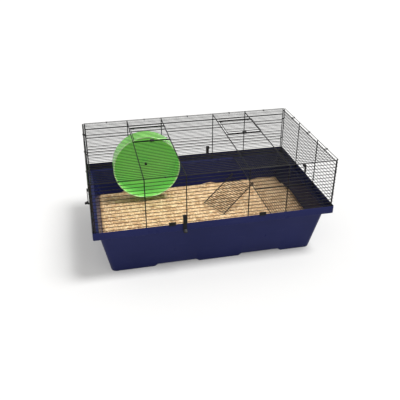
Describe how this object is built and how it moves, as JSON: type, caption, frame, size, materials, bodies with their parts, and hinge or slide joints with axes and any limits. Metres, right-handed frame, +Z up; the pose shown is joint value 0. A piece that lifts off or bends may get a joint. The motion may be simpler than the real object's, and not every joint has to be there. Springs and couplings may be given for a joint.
{
  "type": "hamster cage",
  "caption": "Small-pet cage: deep plastic tray with bedding, clipped-on wire top with hinged roof doors, running wheel, wire shelf and hooked ladder.",
  "frame": {"origin": "middle of the footprint, on the surface the tray stands on", "axes": "+X along the length towards the shelf end, -Y towards the front, +Z up"},
  "size_m": [0.8354, 0.538, 0.3619],
  "materials": {
    "tray_plastic": "moulded, satin gloss, navy blue",
    "black_plastic": "moulded, satin black",
    "wood_shavings": "loose dry softwood shavings",
    "coated_wire": "black gloss lacquer over steel wire",
    "tie_steel": "black lacquered steel band",
    "wheel_plastic": "translucent bright green, moulded gloss",
    "axle_steel": "bright turned steel",
    "washer_plastic": "natural nylon"
  },
  "bodies": {
    "cage": {"tray": "tray_plastic", "bedding": "wood_shavings", "front_panel": "coated_wire", "back_panel": "coated_wire", "left_panel": "coated_wire", "right_panel": "coated_wire", "roof_cross_wires": "coated_wire", "roof_mesh_front": "coated_wire", "roof_mesh_back": "coated_wire", "roof_mesh_left": "coated_wire", "roof_mesh_middle": "coated_wire", "roof_mesh_right": "coated_wire", "doorway_stop_wires": "coated_wire", "doorway_hinge_wires": "coated_wire", "panel_ties": "tie_steel", "wheel_axle": "axle_steel", "axle_cap": "black_plastic", "wheel_washer": "washer_plastic", "wheel_stand": "wheel_plastic", "shelf_edge_wires": "coated_wire", "shelf_cross_wires": "coated_wire", "shelf_mesh": "coated_wire", "rim_caps": "black_plastic"},
    "wheel": {"wheel_drum": "wheel_plastic", "wheel_treads": "wheel_plastic"},
    "left_door": {"left_door_frame": "coated_wire", "left_door_mesh": "coated_wire", "left_door_catch": "black_plastic"},
    "right_door": {"right_door_frame": "coated_wire", "right_door_mesh": "coated_wire", "right_door_catch": "black_plastic"},
    "front_clip_body": {"front_clip": "black_plastic"},
    "back_clip_body": {"back_clip": "black_plastic"},
    "left_clip_body": {"left_clip": "black_plastic"},
    "right_clip_body": {"right_clip": "black_plastic"},
    "ladder": {"ladder_rails": "coated_wire", "ladder_rungs": "coated_wire"}
  },
  "joints": [
    {"name": "wheel_spin", "type": "hinge", "parent": "cage", "child": "wheel", "pos_m": [-0.182, 0.126, 0.224], "axis": [0, 1, 0], "continuous": true},
    {"name": "left_door_hinge", "type": "hinge", "parent": "cage", "child": "left_door", "pos_m": [-0.167, 0.1622, 0.3553], "axis": [-1, 0, 0], "range_deg": [0, 145]},
    {"name": "right_door_hinge", "type": "hinge", "parent": "cage", "child": "right_door", "pos_m": [0.167, 0.1622, 0.3553], "axis": [-1, 0, 0], "range_deg": [0, 145]},
    {"name": "front_clip_hinge", "type": "hinge", "parent": "cage", "child": "front_clip_body", "pos_m": [-0.11, -0.25, 0.2131], "axis": [-1, 0, 0], "range_deg": [0, 110]},
    {"name": "back_clip_hinge", "type": "hinge", "parent": "cage", "child": "back_clip_body", "pos_m": [0.084, 0.25, 0.2131], "axis": [1, 0, 0], "range_deg": [0, 110]},
    {"name": "left_clip_hinge", "type": "hinge", "parent": "cage", "child": "left_clip_body", "pos_m": [-0.3987, -0.01, 0.2131], "axis": [0, 1, 0], "range_deg": [0, 110]},
    {"name": "right_clip_hinge", "type": "hinge", "parent": "cage", "child": "right_clip_body", "pos_m": [0.3987, 0.011, 0.2131], "axis": [0, -1, 0], "range_deg": [0, 110]},
    {"name": "ladder_hinge", "type": "hinge", "parent": "cage", "child": "ladder", "pos_m": [0.1895, -0.011, 0.1691], "axis": [-0.4848, 0.8746, 0], "range_deg": [0, 90]}
  ]
}
